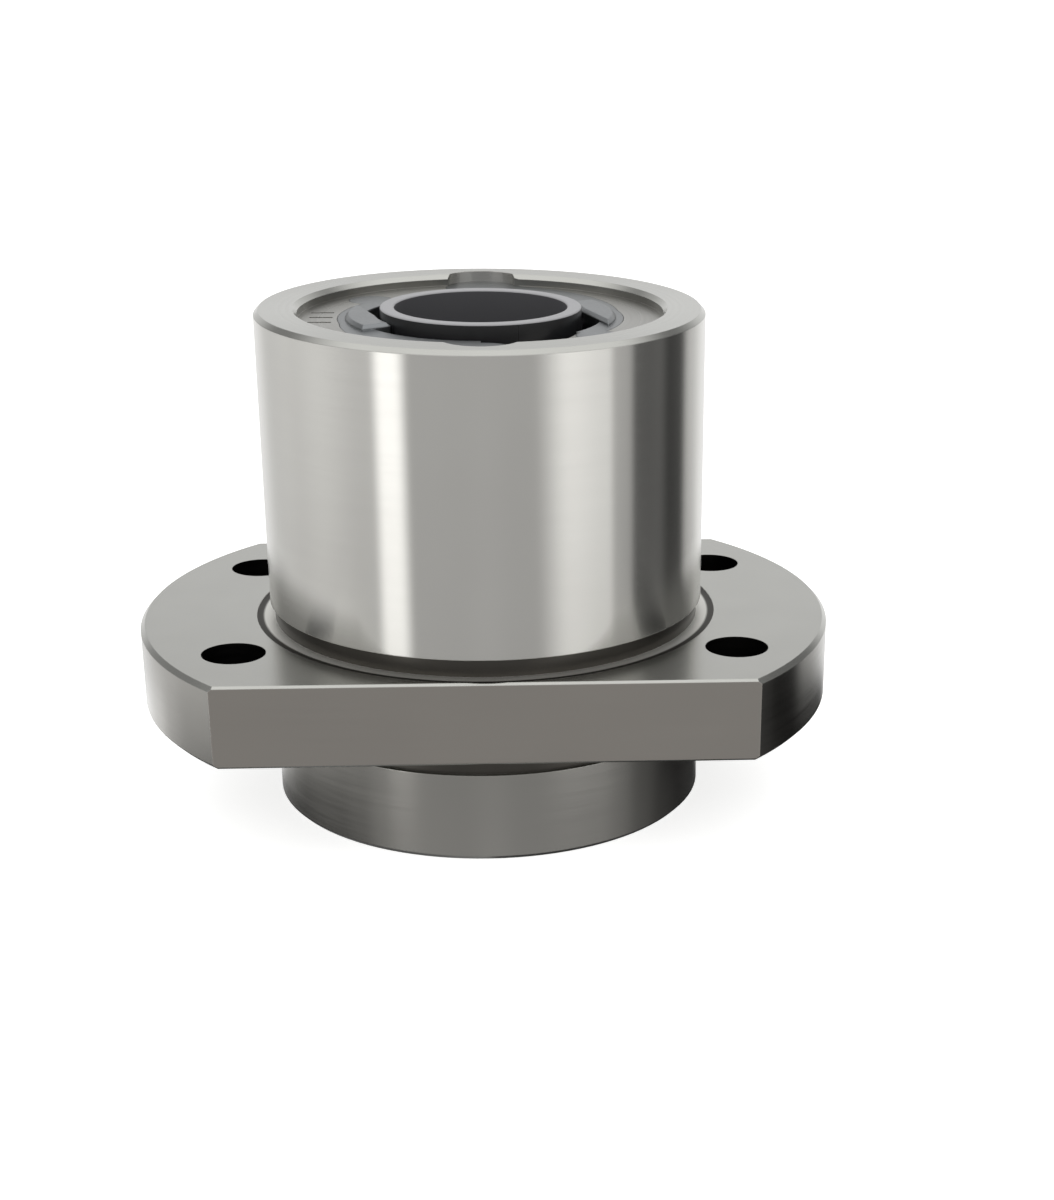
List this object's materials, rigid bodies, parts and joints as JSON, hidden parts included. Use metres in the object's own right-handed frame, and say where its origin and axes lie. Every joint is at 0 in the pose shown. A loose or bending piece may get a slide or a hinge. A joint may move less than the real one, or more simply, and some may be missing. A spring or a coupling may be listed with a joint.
{
  "type": "ball screw nut",
  "caption": "Flanged ball screw nut with end deflectors, recirculating balls and a round storage tube in its bore.",
  "frame": {"origin": "on the nut axis, in the plane of the flange face that seats on the housing", "axes": "+Z along the nut axis from the flange towards the end of the body; the flange flats face -Y and +Y; +X is the third axis, through the lubrication port"},
  "size_m": [0.062, 0.0418, 0.044],
  "materials": {
    "ground_steel": "ground and polished bearing steel",
    "bearing_steel": "lapped chrome steel balls",
    "sintered_steel": "sintered steel, tumbled",
    "black_plastic": "smooth extruded black plastic"
  },
  "bodies": {
    "nut": {"nut_body": "ground_steel", "top_a_deflector_base": "sintered_steel", "top_a_deflector_cover": "sintered_steel", "top_b_deflector_base": "sintered_steel", "top_b_deflector_cover": "sintered_steel", "bottom_a_deflector_base": "sintered_steel", "bottom_a_deflector_cover": "sintered_steel", "bottom_b_deflector_base": "sintered_steel", "bottom_b_deflector_cover": "sintered_steel", "load_balls_a": "bearing_steel", "load_balls_b": "bearing_steel", "top_turn_balls_a": "bearing_steel", "top_turn_balls_b": "bearing_steel", "return_balls_a": "bearing_steel", "return_balls_b": "bearing_steel", "bottom_turn_balls_a": "bearing_steel", "bottom_turn_balls_b": "bearing_steel"},
    "arbor": {"arbor_tube": "black_plastic"}
  },
  "joints": [
    {"name": "arbor_slide", "type": "slide", "parent": "nut", "child": "arbor", "axis": [0, 0, 1], "range_m": [0, 0.045]}
  ]
}
